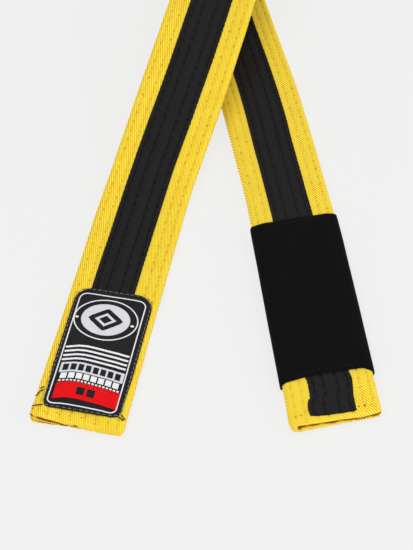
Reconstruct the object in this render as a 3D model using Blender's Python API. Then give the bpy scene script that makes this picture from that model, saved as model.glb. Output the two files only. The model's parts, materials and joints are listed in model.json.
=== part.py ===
"""A child's grading belt for martial arts, folded into a flat bundle with its two tails crossed in front.

The belt is a padded strap: a core of interlining inside a sewn cover, with a stripe along the middle of each
face. One tail carries a rank bar, the other a label with a size tab. Between the tails the strap is folded
back on itself five times. It bends at every fold and at five places along the tails, so each layer of the
strap is divided there, and each stretch between two bends is one rigid body.

Metres, +Z up. The origin is on the table, where the middle lines of the two tails cross. The tails point
towards -Y.
"""

import math

import bmesh
import bpy
from mathutils import Matrix, Vector

# Strap section
BELT_WIDTH = 0.0425
STRIPE_WIDTH = 0.0206
STRIPE_THICKNESS = 0.0004
COVER_DEPTH = 0.0038
COVER_WALL = 0.0007
COVER_EDGE_RADIUS = 0.0012
CLEARANCE = 0.0003
STRAP_THICKNESS = COVER_DEPTH + 2 * (STRIPE_THICKNESS + CLEARANCE)

# Bundle and bends
LAYER_GAP = 0.0005
LAYER_PITCH = STRAP_THICKNESS + LAYER_GAP
LAYER_COUNT = 6
LIFT_AXIS_HEIGHT = STRAP_THICKNESS + 0.0001
FOLD_AXIS_HEIGHT = -LAYER_GAP / 2
CORNER_STEPS = 3

# Rank bar, label and size tab, measured from the tip of the tail that carries them
BAR_START = 0.0262
BAR_LENGTH = 0.0942
BAR_WALL = 0.0008
LABEL_START = 0.0067
LABEL_LENGTH = 0.070
LABEL_WIDTH = 0.037
LABEL_THICKNESS = 0.0005
LABEL_CORNER = 0.005
TAB_START = 0.0104
TAB_LENGTH = 0.0092
TAB_WIDTH = 0.0304
TAB_THICKNESS = 0.0004
BAR_TAIL_STRIPE_STOP = 0.0044
LABEL_TAIL_STRIPE_STOP = 0.012
BAR_TAIL_HEIGHT = BAR_WALL + CLEARANCE + 0.0002

# Where the strap's middle line bends, in plan, from the rank bar's tip to the label's tip
RIGHT_TIP = Vector((0.0478, -0.2822))
RIGHT_LOWER_BEND = Vector((0.0310, -0.1535))
RIGHT_UPPER_BEND = Vector((0.0165, -0.0715))
FOLDS = (
    Vector((-0.0686, 0.2965)),
    Vector((-0.0080, 0.0395)),
    Vector((-0.0030, 0.2915)),
    Vector((0.0130, 0.0355)),
    Vector((0.0660, 0.2945)),
)
LEFT_UPPER_BEND = Vector((-0.0098, -0.0435))
LEFT_MIDDLE_BEND = Vector((-0.0247, -0.0935))
LEFT_LOWER_BEND = Vector((-0.0404, -0.1435))
LEFT_TIP = Vector((-0.0690, -0.2835))

# Colour, roughness and metallic value of each material
MATERIALS = {
    "yellow_cotton": ((0.90, 0.62, 0.03, 1.0), 0.85, 0.0),
    "black_stripe_tape": ((0.018, 0.018, 0.020, 1.0), 0.75, 0.0),
    "core_interlining": ((0.80, 0.77, 0.70, 1.0), 0.95, 0.0),
    "black_bar_cloth": ((0.008, 0.008, 0.009, 1.0), 0.9, 0.0),
    "label_weave": ((0.03, 0.03, 0.035, 1.0), 0.6, 0.0),
    "red_tab_tape": ((0.75, 0.01, 0.01, 1.0), 0.7, 0.0),
}


def clear_scene():
    for obj in list(bpy.data.objects):
        bpy.data.objects.remove(obj, do_unlink=True)


def make_material(name):
    colour, roughness, metallic = MATERIALS[name]
    material = bpy.data.materials.new(name)
    material.use_nodes = True
    shader = material.node_tree.nodes["Principled BSDF"]
    shader.inputs["Base Color"].default_value = colour
    shader.inputs["Roughness"].default_value = roughness
    shader.inputs["Metallic"].default_value = metallic
    return material


class Span:
    """One straight span of strap as it is laid out, with the ends of its top surface's middle line."""

    def __init__(self, name, start, start_height, end, end_height):
        self.name = name
        self.start = Vector((*start, start_height + LIFT_AXIS_HEIGHT))
        self.end = Vector((*end, end_height + LIFT_AXIS_HEIGHT))
        self.direction = (self.end - self.start).normalized()


def crease_normal(arriving, leaving):
    """The normal of the plane that two neighbouring spans are cut along, or of a fold's crease."""
    if arriving.direction.dot(leaving.direction) < 0:
        return arriving.direction - leaving.direction
    return arriving.direction + leaving.direction


class Stretch:
    """One rigid length of strap: a span, read outwards from its bend nearer to the bundle's bottom layer."""

    def __init__(self, span, outwards, inner_normal, outer_normal, pivot_height):
        self.name = span.name
        self.pivot_height = pivot_height
        start, end = (span.start, span.end) if outwards else (span.end, span.start)
        self.length = (end - start).length
        self.along = (end - start).normalized()
        self.side = Vector((0, 0, 1)).cross(self.along).normalized()
        self.up = self.along.cross(self.side)
        axes = Matrix((self.along, self.side, self.up)).transposed().to_4x4()
        pivot = start + self.up * (pivot_height - LIFT_AXIS_HEIGHT)
        self.matrix = Matrix.Translation(pivot) @ axes
        self.inner_normal = inner_normal
        self.outer_normal = outer_normal

    def cut(self, normal, v, n):
        """How far a cut end lies along the strap from the middle of its top edge; a tip is cut square."""
        if normal is None:
            return 0.0
        across = v * self.side.dot(normal) + (n - LIFT_AXIS_HEIGHT) * self.up.dot(normal)
        return -across / self.along.dot(normal)

    def point(self, u, v, n):
        """A point u along the stretch, v across it and n above the strap's underside, in the body's own axes."""
        return Vector((u, v, n - self.pivot_height))

    def inner_end(self, v, n):
        return CLEARANCE + self.cut(self.inner_normal, v, n)

    def outer_end(self, v, n):
        return self.length - CLEARANCE + self.cut(self.outer_normal, v, n)


def rounded_section(width, bottom, top, radius):
    """A closed outline across the strap, as (v, n) points: a rectangle with rounded corners."""
    half = width / 2 - radius
    centres = ((half, top - radius), (-half, top - radius), (-half, bottom + radius), (half, bottom + radius))
    outline = []
    for quarter, (v, n) in enumerate(centres):
        for step in range(CORNER_STEPS + 1):
            angle = math.pi / 2 * (quarter + step / CORNER_STEPS)
            outline.append((v + radius * math.cos(angle), n + radius * math.sin(angle)))
    return outline


def plain_section(width, bottom, top):
    half = width / 2
    return [(half, top), (-half, top), (-half, bottom), (half, bottom)]


def add_ring(mesh, stretch, section, end):
    """The section's points at one end of a stretch, where end gives the distance along it at each point."""
    return [mesh.verts.new(stretch.point(end(v, n), v, n)) for v, n in section]


def join_rings(mesh, first, second):
    count = len(first)
    for i in range(count):
        j = (i + 1) % count
        mesh.faces.new((first[i], first[j], second[j], second[i]))


def bar_mesh(stretch, section, start, end):
    """A solid bar with one section along a stretch."""
    mesh = bmesh.new()
    near = add_ring(mesh, stretch, section, start)
    far = add_ring(mesh, stretch, section, end)
    join_rings(mesh, near, far)
    mesh.faces.new(near)
    mesh.faces.new(far)
    return mesh


def tube_mesh(stretch, outer, inner, start, end, closed_wall=None):
    """A tube between two sections. With a closed_wall it is shut at its end by a wall that thick."""
    mesh = bmesh.new()
    outer_near = add_ring(mesh, stretch, outer, start)
    outer_far = add_ring(mesh, stretch, outer, end)
    inner_near = add_ring(mesh, stretch, inner, start)
    inner_end = end if closed_wall is None else lambda v, n: end(v, n) - closed_wall
    inner_far = add_ring(mesh, stretch, inner, inner_end)
    join_rings(mesh, outer_near, outer_far)
    join_rings(mesh, inner_near, inner_far)
    join_rings(mesh, outer_near, inner_near)
    if closed_wall is None:
        join_rings(mesh, outer_far, inner_far)
    else:
        mesh.faces.new(outer_far)
        mesh.faces.new(inner_far)
    return mesh


def finish_object(name, mesh, material, body):
    bmesh.ops.recalc_face_normals(mesh, faces=mesh.faces)
    data = bpy.data.meshes.new(name)
    mesh.to_mesh(data)
    mesh.free()
    data.materials.append(material)
    obj = bpy.data.objects.new(name, data)
    bpy.context.scene.collection.objects.link(obj)
    obj.parent = body
    return obj


def make_body(stretch, parent):
    """The empty on a stretch's bend axis that its layers hang from."""
    body = bpy.data.objects.new(f"{stretch.name}_bend", None)
    body.empty_display_size = BELT_WIDTH / 2
    bpy.context.scene.collection.objects.link(body)
    if parent:
        body.parent = parent
        body.matrix_parent_inverse = parent.matrix_world.inverted()
    body.matrix_world = stretch.matrix
    bpy.context.view_layer.update()
    return body


def cover_sections():
    """The cover's outer and inner outlines. The inner one has as many points as the outer one."""
    bottom = STRIPE_THICKNESS + CLEARANCE
    top = bottom + COVER_DEPTH
    outer = rounded_section(BELT_WIDTH, bottom, top, COVER_EDGE_RADIUS)
    inner_radius = COVER_EDGE_RADIUS - COVER_WALL
    inner_width = BELT_WIDTH - 2 * COVER_WALL
    inner = rounded_section(inner_width, bottom + COVER_WALL, top - COVER_WALL, inner_radius)
    return outer, inner


def core_section():
    inset = STRIPE_THICKNESS + CLEARANCE + COVER_WALL + CLEARANCE
    width = BELT_WIDTH - 2 * (COVER_WALL + CLEARANCE)
    return plain_section(width, inset, STRAP_THICKNESS - inset)


def add_strap_layers(stretch, body, materials, stripe_stop=None):
    """The core, the cover and the two stripes of one stretch. At a tip the stripes stop short of it."""
    at_tip = stripe_stop is not None

    def short_of_tip(distance):
        return lambda v, n: stretch.outer_end(v, n) - distance

    outer, inner = cover_sections()
    wall = COVER_WALL if at_tip else None
    cover = tube_mesh(stretch, outer, inner, stretch.inner_end, stretch.outer_end, wall)
    finish_object(f"{stretch.name}_cover", cover, materials["yellow_cotton"], body)

    core_stop = short_of_tip(COVER_WALL + CLEARANCE if at_tip else 0.0)
    core = bar_mesh(stretch, core_section(), stretch.inner_end, core_stop)
    finish_object(f"{stretch.name}_core", core, materials["core_interlining"], body)

    stripe_end = short_of_tip(stripe_stop or 0.0)
    for side, bottom in (("lower", 0.0), ("upper", STRAP_THICKNESS - STRIPE_THICKNESS)):
        section = plain_section(STRIPE_WIDTH, bottom, bottom + STRIPE_THICKNESS)
        stripe = bar_mesh(stretch, section, stretch.inner_end, stripe_end)
        finish_object(f"{stretch.name}_{side}_stripe", stripe, materials["black_stripe_tape"], body)


def add_rank_bar(stretch, body, material):
    """The sleeve sewn round one tail."""
    inner_width = BELT_WIDTH + 2 * CLEARANCE
    inner_radius = COVER_EDGE_RADIUS + CLEARANCE
    inner = rounded_section(inner_width, -CLEARANCE, STRAP_THICKNESS + CLEARANCE, inner_radius)
    reach = CLEARANCE + BAR_WALL
    outer = rounded_section(inner_width + 2 * BAR_WALL, -reach, STRAP_THICKNESS + reach, inner_radius + BAR_WALL)
    end = stretch.length - BAR_START
    start = end - BAR_LENGTH
    sleeve = tube_mesh(stretch, outer, inner, lambda v, n: start, lambda v, n: end)
    finish_object("rank_bar_sleeve", sleeve, material, body)


def add_flat_patch(name, stretch, body, material, start, length, width, bottom, thickness, corner):
    """A flat patch on the upper face with its four corners cut off."""
    near = stretch.length - start - length
    far = stretch.length - start
    half = width / 2
    outline = (
        (near + corner, -half), (far - corner, -half), (far, -half + corner), (far, half - corner),
        (far - corner, half), (near + corner, half), (near, half - corner), (near, -half + corner),
    )
    mesh = bmesh.new()
    face = mesh.faces.new([mesh.verts.new(stretch.point(u, v, bottom)) for u, v in outline])
    raised = bmesh.ops.extrude_face_region(mesh, geom=[face])
    top = [element for element in raised["geom"] if isinstance(element, bmesh.types.BMVert)]
    bmesh.ops.translate(mesh, vec=(0, 0, thickness), verts=top)
    finish_object(name, mesh, material, body)


def add_label(stretch, body, materials):
    label_bottom = STRAP_THICKNESS + CLEARANCE
    tab_bottom = label_bottom + LABEL_THICKNESS + CLEARANCE
    add_flat_patch(
        "woven_label", stretch, body, materials["label_weave"],
        LABEL_START, LABEL_LENGTH, LABEL_WIDTH, label_bottom, LABEL_THICKNESS, LABEL_CORNER,
    )
    add_flat_patch(
        "size_tab", stretch, body, materials["red_tab_tape"],
        TAB_START, TAB_LENGTH, TAB_WIDTH, tab_bottom, TAB_THICKNESS, TAB_THICKNESS,
    )


def lay_out_spans():
    """The belt's spans in order, from the rank bar's tip, up through the bundle, to the label's tip."""
    top = (LAYER_COUNT - 1) * LAYER_PITCH
    descent = [(LEFT_MIDDLE_BEND - LEFT_UPPER_BEND).length, (LEFT_LOWER_BEND - LEFT_MIDDLE_BEND).length]
    middle = top * descent[1] / sum(descent)
    ends = [RIGHT_UPPER_BEND, *FOLDS, LEFT_UPPER_BEND]
    layers = [
        Span(f"layer_{k + 1}", ends[k], k * LAYER_PITCH, ends[k + 1], k * LAYER_PITCH)
        for k in range(LAYER_COUNT)
    ]
    return [
        Span("right_tail_end", RIGHT_TIP, BAR_TAIL_HEIGHT, RIGHT_LOWER_BEND, BAR_TAIL_HEIGHT),
        Span("right_tail_upper", RIGHT_LOWER_BEND, BAR_TAIL_HEIGHT, RIGHT_UPPER_BEND, 0.0),
        *layers,
        Span("left_tail_upper", LEFT_UPPER_BEND, top, LEFT_MIDDLE_BEND, middle),
        Span("left_tail_middle", LEFT_MIDDLE_BEND, middle, LEFT_LOWER_BEND, 0.0),
        Span("left_tail_end", LEFT_LOWER_BEND, 0.0, LEFT_TIP, 0.0),
    ]


def plan_stretches():
    """The bottom layer's stretch, then the chain of stretches on each side of it, outwards."""
    spans = lay_out_spans()
    normals = [None, *map(crease_normal, spans[:-1], spans[1:]), None]
    base_index = next(i for i, span in enumerate(spans) if span.name == "layer_1")

    def stretch(i):
        outwards = i >= base_index
        inner, outer = (normals[i], normals[i + 1]) if outwards else (normals[i + 1], normals[i])
        folded_over = spans[i].name.startswith("layer") and i > base_index
        pivot_height = FOLD_AXIS_HEIGHT if folded_over else LIFT_AXIS_HEIGHT
        return Stretch(spans[i], outwards, inner, outer, pivot_height)

    right = [stretch(i) for i in reversed(range(base_index))]
    left = [stretch(i) for i in range(base_index + 1, len(spans))]
    return stretch(base_index), right, left


def build_belt():
    clear_scene()
    materials = {name: make_material(name) for name in MATERIALS}
    base, right, left = plan_stretches()
    base_body = make_body(base, None)
    add_strap_layers(base, base_body, materials)
    for chain, stripe_stop in ((right, BAR_TAIL_STRIPE_STOP), (left, LABEL_TAIL_STRIPE_STOP)):
        body = base_body
        for stretch in chain:
            body = make_body(stretch, body)
            add_strap_layers(stretch, body, materials, stripe_stop if stretch is chain[-1] else None)
        if chain is right:
            add_rank_bar(chain[-1], body, materials["black_bar_cloth"])
        else:
            add_label(chain[-1], body, materials)


build_belt()
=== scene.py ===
"""Looks of the folded martial arts belt: quilted cotton strap, stripe tapes, rank bar, label and size tab.

Everything is laid out in strap coordinates (u along from the rank bar's tip, v across, h out of face A) and then
mapped onto the path that the CAD bodies give, so each piece bends with the strap.
"""

import json
import math

import bmesh
import bpy
import numpy as np
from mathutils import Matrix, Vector


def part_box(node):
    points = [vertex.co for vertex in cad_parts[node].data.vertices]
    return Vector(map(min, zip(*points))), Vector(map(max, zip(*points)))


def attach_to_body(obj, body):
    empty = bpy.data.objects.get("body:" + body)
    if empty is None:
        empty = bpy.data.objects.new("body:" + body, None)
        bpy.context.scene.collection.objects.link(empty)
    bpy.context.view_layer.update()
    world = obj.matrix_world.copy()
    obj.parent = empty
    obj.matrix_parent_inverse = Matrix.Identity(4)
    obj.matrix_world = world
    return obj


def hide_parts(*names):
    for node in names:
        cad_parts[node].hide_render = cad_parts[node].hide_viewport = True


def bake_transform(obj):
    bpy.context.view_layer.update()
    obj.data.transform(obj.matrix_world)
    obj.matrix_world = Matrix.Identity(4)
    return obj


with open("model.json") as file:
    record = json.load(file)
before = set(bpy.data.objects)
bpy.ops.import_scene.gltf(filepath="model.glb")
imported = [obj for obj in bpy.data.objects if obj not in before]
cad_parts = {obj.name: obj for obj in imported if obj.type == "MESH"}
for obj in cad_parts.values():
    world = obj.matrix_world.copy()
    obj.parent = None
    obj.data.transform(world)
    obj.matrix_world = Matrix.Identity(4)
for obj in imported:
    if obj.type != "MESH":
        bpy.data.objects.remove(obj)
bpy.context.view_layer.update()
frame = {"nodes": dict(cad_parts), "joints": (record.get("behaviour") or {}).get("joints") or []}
JOINTS = {j["name"]: j for j in frame["joints"]}
MM = 0.001
UP = np.array((0.0, 0.0, 1.0))

STRETCHES = (
    ["right_tail_end", "right_tail_upper"]
    + [f"layer_{k}" for k in range(1, 7)]
    + ["left_tail_upper", "left_tail_middle", "left_tail_end"]
)
LINKS = (
    ["right_tail_end_lift", "right_tail_upper_lift"]
    + [f"fold_{k}" for k in range(1, 6)]
    + ["left_tail_upper_lift", "left_tail_middle_lift", "left_tail_end_lift"]
)
FACE_A_UP = (1, 1, 1, -1, 1, -1, 1, -1, -1, -1, -1)
BEND_LENGTHS = {
    "right_tail_end_lift": 60 * MM,
    "right_tail_upper_lift": 40 * MM,
    "left_tail_upper_lift": 50 * MM,
    "left_tail_middle_lift": 50 * MM,
    "left_tail_end_lift": 50 * MM,
}
BLEND_REACH = 14 * MM

# Strap section, in strap coordinates
WIDTH = 42.5 * MM
EDGE_RADIUS = 2.5 * MM
COVER_HALF = 2.42 * MM
TAPED_HALF = 2.2 * MM
TAPE_HALF_WIDTH = 10.3 * MM
TAPE_THICKNESS = 0.36 * MM
ROWS = np.array([-17.9, -13.6, -8.0, -3.2, 3.2, 8.0, 13.6, 17.9]) * MM
PITCH = 5.3 * MM
ROW_SHIFT = np.array([0, 0.4, 0.2, 0.8, 0, 0.6, 0.2, 0.8]) * PITCH
TAPE_STOPS = (4.0 * MM, 12 * MM)
TIP_LIP = 1.7 * MM
BAR_START, BAR_LENGTH = 26.2 * MM, 94.2 * MM
LABEL_START, LABEL_LENGTH, LABEL_HALF, LABEL_SHIFT = 6.7 * MM, 71 * MM, 18.3 * MM, 0.7 * MM
TAB_START, TAB_LENGTH, TAB_HALF = 3.7 * MM, 9.2 * MM, 14.5 * MM


def unit(a):
    a = np.asarray(a, float)
    return a / np.linalg.norm(a, axis=-1, keepdims=True)


def smooth(low, high, x):
    t = np.clip((x - low) / (high - low), 0, 1)
    return t * t * (3 - 2 * t)


# ---------------------------------------------------------------- the path of the strap, from the CAD


def mid_height(stretch):
    low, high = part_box(f"{stretch}_cover")
    return (low.z + high.z) / 2


def tip_centre(stretch, joint):
    """The middle of the square end of the tail, from its cover's vertices."""
    points = np.array([v.co for v in frame["nodes"][f"{stretch}_cover"].data.vertices])
    away = points.mean(0) - np.array(JOINTS[joint]["pos_m"])
    away[2] = 0
    reach = points @ unit(away)
    end = points[reach > reach.max() - 2 * MM]
    centre = (end.min(0) + end.max(0)) / 2
    return np.array((*centre[:2], mid_height(stretch)))


class Lift:
    """A gentle bend between two stretches, rounded over a length of strap."""

    def __init__(self, corner, d1, d2, length, turned):
        self.corner, self.d1, self.d2, self.length, self.turned = corner, d1, d2, length, turned
        self.angle = math.acos(min(1.0, float(d1 @ d2)))
        self.radius = length / self.angle
        self.tangent = self.radius * math.tan(self.angle / 2)
        self.inward = (d2 - d1 * math.cos(self.angle)) / math.sin(self.angle)
        self.saved = length / 2 - self.tangent

    def place(self, s, v, h):
        half = self.length / 2
        turn = (np.clip(s + half, 0, self.length) / self.radius)[:, None]
        centre = (
            self.corner
            - self.tangent * self.d1
            + self.radius * (np.sin(turn) * self.d1 + (1 - np.cos(turn)) * self.inward)
            + np.minimum(s + half, 0)[:, None] * self.d1
            + np.maximum(s - half, 0)[:, None] * self.d2
        )
        along = np.cos(turn) * self.d1 + np.sin(turn) * self.inward
        side = unit(np.cross(along, UP * self.turned))
        return centre + v[:, None] * side + h[:, None] * np.cross(side, along)

    def weight(self, s):
        return smooth(-BLEND_REACH, BLEND_REACH, s)


class Fold:
    """A fold of the strap round a slanted crease, from one layer of the bundle up to the next."""

    def __init__(self, crease, axis, d1, pitch, turned):
        self.crease, self.d1, self.turned, self.radius = crease, d1, turned, pitch / 2
        self.line = unit(axis)
        out = np.cross(self.line, UP)
        self.out = out if out @ d1 > 0 else -out
        self.side = np.cross(d1, UP * turned)
        self.quarter = math.pi * self.radius / 2
        self.slant = float(d1 @ self.line / (d1 @ self.out))
        self.saved = self.quarter / float(d1 @ self.out)

    def turn(self, s, v):
        q = s * (self.d1 @ self.out) + v * (self.side @ self.out)
        return q, np.clip((q + self.quarter) / self.radius, 0, math.pi)

    def place(self, s, v, h):
        q, turn = self.turn(s, v)
        along = s * (self.d1 @ self.line) + v * (self.side @ self.line)
        along = along - np.clip(q, -self.quarter, self.quarter) * self.slant
        out = np.minimum(q + self.quarter, 0) - np.maximum(q - self.quarter, 0)
        out = out + self.radius * np.sin(turn)
        normal = np.cos(turn)[:, None] * UP - np.sin(turn)[:, None] * self.out
        return (
            self.crease
            + along[:, None] * self.line
            + out[:, None] * self.out
            + (self.radius * (1 - np.cos(turn)))[:, None] * UP
            + (h * self.turned)[:, None] * normal
        )

    def weight(self, s, v):
        return self.turn(s, v)[1] / math.pi


class Straight:
    def __init__(self, start, direction, turned):
        self.start, self.direction = start, direction
        self.side = unit(np.cross(direction, UP * turned))
        self.normal = np.cross(self.side, direction)

    def place(self, s, v, h):
        return self.start + s[:, None] * self.direction + v[:, None] * self.side + h[:, None] * self.normal


def lay_path():
    """Segments of the strap from tip to tip: (first u, last u, u of the joint, shape, link name)."""
    tips = (
        tip_centre(STRETCHES[0], LINKS[0]),
        tip_centre(STRETCHES[-1], LINKS[-1]),
    )
    knots = [tips[0]] + [np.array(JOINTS[n]["pos_m"]) for n in LINKS] + [tips[1]]
    lifted = [False] + [n.endswith("lift") for n in LINKS] + [False]
    directions, normals = [], []
    for i in range(len(STRETCHES)):
        d = knots[i + 1] - knots[i]
        if not (lifted[i] and lifted[i + 1]):
            d[2] = 0
        directions.append(unit(d))
        normals.append(np.cross(unit(np.cross(directions[-1], UP)), directions[-1]))
    above = knots[LINKS.index("left_tail_upper_lift") + 1][2] - mid_height("layer_6")
    arrive, leave = [None] * 12, [None] * 12
    leave[0], arrive[11] = tips
    for i in range(1, 11):
        if lifted[i]:
            n1, n2 = normals[i - 1], normals[i]
            arrive[i] = leave[i] = knots[i] - above * (n1 + n2) / (1 + n1 @ n2)
        else:
            arrive[i] = np.array((*knots[i][:2], mid_height(STRETCHES[i - 1])))
            leave[i] = np.array((*knots[i][:2], mid_height(STRETCHES[i])))
    lengths = [np.linalg.norm(arrive[i + 1] - leave[i]) for i in range(11)]
    shapes = []
    for i in range(1, 11):
        turned = FACE_A_UP[i - 1]
        if lifted[i]:
            room = 0.95 * min(lengths[i - 1], lengths[i])
            length = min(BEND_LENGTHS[LINKS[i - 1]], room)
            shapes.append(Lift(arrive[i], directions[i - 1], directions[i], length, turned))
        else:
            rise = leave[i][2] - arrive[i][2]
            shapes.append(
                Fold(arrive[i], JOINTS[LINKS[i - 1]]["axis"], directions[i - 1], rise, turned)
            )
    u = lengths[0] / 2
    segments = [(0.0, u, 0.0, Straight(tips[0], directions[0], FACE_A_UP[0]), None)]
    for i, shape in enumerate(shapes):
        joint = u + lengths[i] / 2 + shape.saved
        end = joint + lengths[i + 1] / 2 + shape.saved
        segments.append((u, end, joint, shape, LINKS[i]))
        u = end
    last = Straight(tips[1], directions[-1], FACE_A_UP[-1])
    end = u + lengths[-1] / 2
    segments.append((u, end, end, last, None))
    return segments


SEGMENTS = lay_path()
TOTAL = SEGMENTS[-1][1]


def place(uvh):
    """World points of strap coordinates, each through the segment that its u lies on."""
    uvh = np.asarray(uvh, float)
    out = np.zeros_like(uvh)
    for index, (first, last, joint, shape, _) in enumerate(SEGMENTS):
        low = -1 if index == 0 else first
        high = TOTAL + 1 if index == len(SEGMENTS) - 1 else last
        mine = (uvh[:, 0] >= low) & (uvh[:, 0] < high)
        if mine.any():
            u, v, h = uvh[mine].T
            out[mine] = shape.place(u - joint, v, h)
    return out


# ---------------------------------------------------------------- relief of the quilted strap


def ripple(u, seed):
    """A slow waviness along the strap, between -1 and 1."""
    a = np.sin(u * 61.0 + seed * 2.1) + 0.6 * np.sin(u * 143.0 + seed * 5.3)
    return (a + 0.4 * np.sin(u * 311.0 + seed * 1.7)) / 2


def groove(v):
    return sum(np.exp(-(((v - r) / (0.62 * MM)) ** 2)) for r in ROWS)


def needle(u, v):
    """1 at each needle hole, falling off round it."""
    total = 0
    for row, shift in zip(ROWS, ROW_SHIFT):
        near = (u - shift + PITCH / 2) % PITCH - PITCH / 2
        total = total + np.exp(-((near / (0.75 * MM)) ** 2) - ((v - row) / (0.5 * MM)) ** 2)
    return total


def cover_half(u, v, face):
    """How far the cover stands out from the strap's middle plane on that face."""
    x = np.clip((np.abs(v) - (WIDTH / 2 - EDGE_RADIUS)) / EDGE_RADIUS, 0, 1)
    edge = np.sqrt(np.maximum(1 - x * x, 0))
    crest = TAPED_HALF + (COVER_HALF - TAPED_HALF) * smooth(9.6 * MM, 10.9 * MM, np.abs(v))
    crest = crest + 0.07 * MM * ripple(u + 3 * v, 1.0 + face)
    dip = 0.34 * MM * groove(v) + 0.2 * MM * needle(u, v)
    return np.maximum(crest - dip, 0.3 * MM) * edge


def across_samples(half, rows, step, edges):
    """Sample positions across the strap: dense at the stitch rows and at the rounded edges."""
    dense = np.concatenate([rows + d * MM for d in (-1.0, -0.45, 0, 0.45, 1.0)])
    fill = np.arange(-half, half + step / 2, step)
    fill = fill[[np.abs(dense - f).min() > 0.45 * step for f in fill]]
    inner = np.concatenate([dense, fill])
    inner = inner[np.abs(inner) < half - edges.max() * 1.02]
    return np.unique(np.concatenate([inner, half - edges, -(half - edges)]).round(7))


COVER_ACROSS = across_samples(
    WIDTH / 2,
    ROWS,
    0.85 * MM,
    EDGE_RADIUS * (1 - np.sin(np.radians([0, 18, 36, 52, 66, 78, 90]))),
)
TAPE_ACROSS = across_samples(
    TAPE_HALF_WIDTH, ROWS[2:6], 0.85 * MM, np.array([0, 0.05, 0.15, 0.32]) * MM
)


def stations(first, last, divisions, joint=None):
    """u of the rings of a tube: multiples of a share of the stitch pitch, closer at a fold."""
    step = PITCH / divisions
    u = np.arange(math.ceil(first / step), math.floor(last / step) + 1) * step
    if joint is not None:
        tight = u[np.abs(u - joint) < 8 * MM]
        u = np.concatenate([u, tight + step / 2])
    u = u[(u > first + 0.3 * MM) & (u < last - 0.3 * MM)]
    return np.unique(np.concatenate([[first], u, [last]]).round(7))


def width_share(u):
    """The strap's width there as a share of its usual width."""
    w = TOTAL - u
    right = np.interp(u, np.array([0, 15, 110, 140, 260, 330]) * MM, [1.0, 0.995, 0.98, 0.965, 0.97, 1.0])
    left = np.interp(
        w, np.array([0, 12, 60, 150, 190, 250, 330]) * MM, [1.03, 1.02, 1.014, 1.0, 1.03, 1.03, 1.0]
    )
    return np.where(u < w, right, left)


def shape_tip(points):
    """Skews the square end of the bar's tail a little and rounds the four corners of the two ends."""
    u, v = points[..., 0], points[..., 1]
    w = TOTAL - u
    right, left = u < 20 * MM, w < 20 * MM
    points[..., 0] += np.where(right, 0.1 * v * np.clip(1 - u / (16 * MM), 0, 1), 0)
    for here, gap, sign, radii in ((right, u, 1, (4.4, 2.2)), (left, w, -1, (3.0, 2.4))):
        radius = np.where(v < 0, *radii) * MM
        x = np.clip(np.abs(v) - (WIDTH / 2 - radius), 0, radius)
        pull = radius - np.sqrt(np.maximum(radius**2 - x**2, (0.3 * radius) ** 2))
        points[..., 0] += np.where(here, sign * pull * np.clip(1 - gap / (9 * MM), 0, 1), 0)
    points[..., 1] *= width_share(u)
    return points


# ---------------------------------------------------------------- mesh building


class Shell:
    """Vertices in strap coordinates, faces, and the two vectors that the materials read."""

    def __init__(self):
        self.points, self.cloth, self.relief = [], [], []
        self.faces, self.slots, self.rims = [], [], []
        self.count = 0

    def add(self, points, cloth=None, relief=None):
        points = np.asarray(points, float).reshape(-1, 3)
        if cloth is None:
            cloth = np.stack([points[:, 0], points[:, 1], (points[:, 2] < 0).astype(float)], 1)
        if relief is None:
            relief = np.zeros_like(points)
        self.points.append(points)
        self.cloth.append(np.asarray(cloth, float).reshape(-1, 3))
        self.relief.append(np.asarray(relief, float).reshape(-1, 3))
        start = self.count
        self.count += len(points)
        return start

    def grid(self, start, rows, columns, closed, slot=0):
        """Quads between the rows of a rows x columns block of vertices."""
        r = np.arange(rows - 1)[:, None]
        c = np.arange(columns if closed else columns - 1)[None, :]
        n = (c + 1) % columns
        quads = np.stack(
            [r * columns + c, r * columns + n, (r + 1) * columns + n, (r + 1) * columns + c], -1
        ).reshape(-1, 4)
        self.face(quads + start, slot)

    def face(self, faces, slot=0):
        faces = [list(map(int, f)) for f in faces]
        self.faces += faces
        self.slots += [slot] * len(faces)

    def rim(self, ring):
        """A ring of vertices whose edges stay sharp."""
        self.rims.append(set(int(i) for i in ring))

    def build(self, name, materials):
        points = place(shape_tip(np.concatenate(self.points)))
        mesh = bpy.data.meshes.new(name)
        mesh.from_pydata(points, [], self.faces)
        mesh.polygons.foreach_set("material_index", np.array(self.slots, np.int32))
        mesh.polygons.foreach_set("use_smooth", np.ones(len(self.faces), bool))
        for label, values in (("cloth", self.cloth), ("relief", self.relief)):
            layer = mesh.attributes.new(label, "FLOAT_VECTOR", "POINT")
            layer.data.foreach_set("vector", np.concatenate(values).astype(np.float32).ravel())
        if self.rims:
            ends = np.zeros(len(mesh.edges) * 2, np.int32)
            mesh.edges.foreach_get("vertices", ends)
            ends = ends.reshape(-1, 2)
            sharp = np.zeros(len(ends), bool)
            for rim in self.rims:
                members = np.zeros(len(points), bool)
                members[list(rim)] = True
                sharp |= members[ends].all(1)
            mesh.attributes.new("sharp_edge", "BOOLEAN", "EDGE").data.foreach_set("value", sharp)
        for material in materials:
            mesh.materials.append(material)
        whole = bmesh.new()
        whole.from_mesh(mesh)
        bmesh.ops.recalc_face_normals(whole, faces=whole.faces)
        whole.to_mesh(mesh)
        whole.free()
        obj = bpy.data.objects.new(name, mesh)
        bpy.context.scene.collection.objects.link(obj)
        return obj


def signed_across(points):
    """The place across the strap as seen from outside, which turns over on face B."""
    w = np.where(points[..., 2] < 0, -points[..., 1], points[..., 1])
    return np.stack([points[..., 0], w, (points[..., 2] < 0).astype(float)], -1)


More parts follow.
